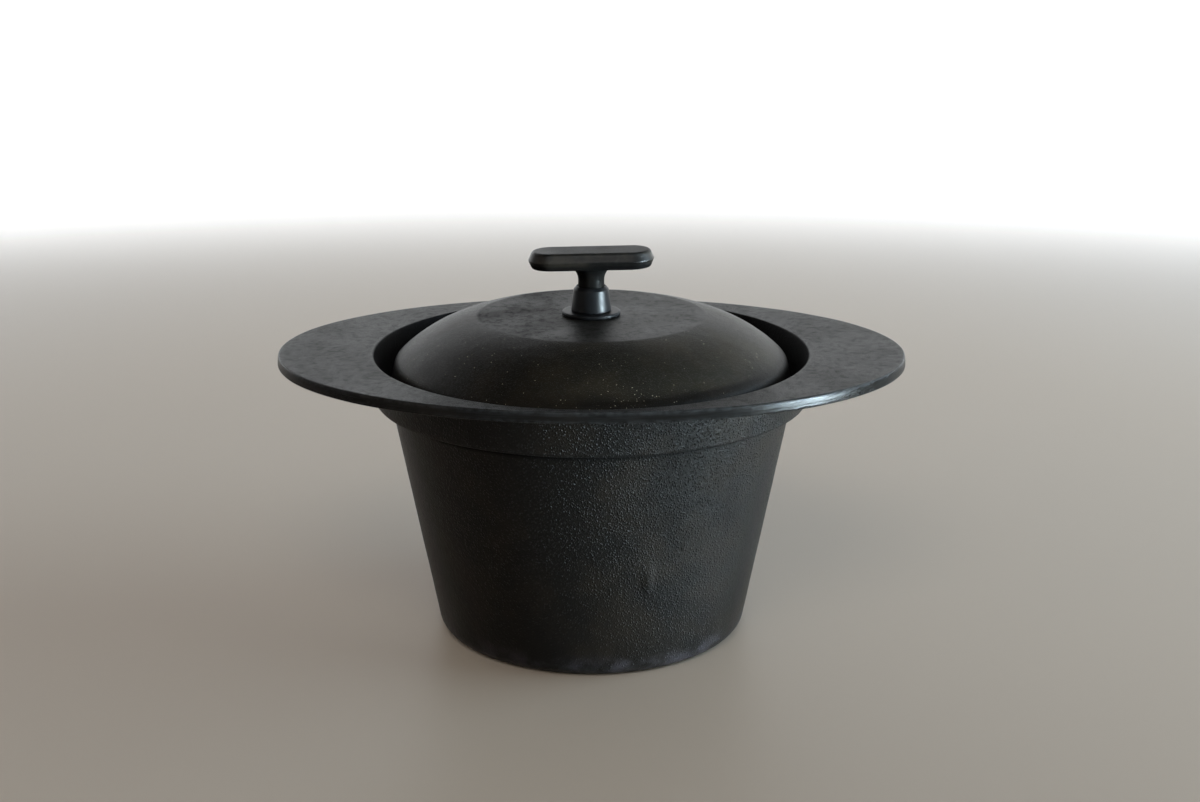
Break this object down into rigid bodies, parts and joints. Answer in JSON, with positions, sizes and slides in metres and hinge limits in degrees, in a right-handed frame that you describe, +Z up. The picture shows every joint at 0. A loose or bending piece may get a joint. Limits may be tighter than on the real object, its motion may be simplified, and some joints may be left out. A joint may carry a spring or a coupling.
{
  "type": "lidded cast iron pot",
  "caption": "Tapered cast iron cooking pot with a flat oval brim that serves as its handles, and a loose domed lid that lifts by a bolted T-shaped handle.",
  "frame": {"origin": "centre of the pot's flat base, on the surface it stands on", "axes": "+X along the oval brim's long axis, +Y to the back, +Z up along the pot's axis"},
  "size_m": [0.25, 0.182, 0.155],
  "materials": {
    "casting_skin": "seasoned black casting skin with a fine pebbled grain, satin",
    "handle_casting": "smoother black casting, satin, a little brown",
    "blackened_steel": "turned steel, blackened and glossy",
    "plain_steel": "plain machined steel"
  },
  "bodies": {
    "pot": {"pot_body": "casting_skin"},
    "lid": {"lid": "casting_skin", "t_handle": "handle_casting", "ferrule": "blackened_steel", "seat_washer": "blackened_steel", "stud": "plain_steel", "back_washer": "plain_steel", "cap_nut": "plain_steel"}
  },
  "joints": [
    {"name": "lid_lift", "type": "slide", "parent": "pot", "child": "lid", "axis": [0, 0, 1], "range_m": [0, 0.12]}
  ]
}
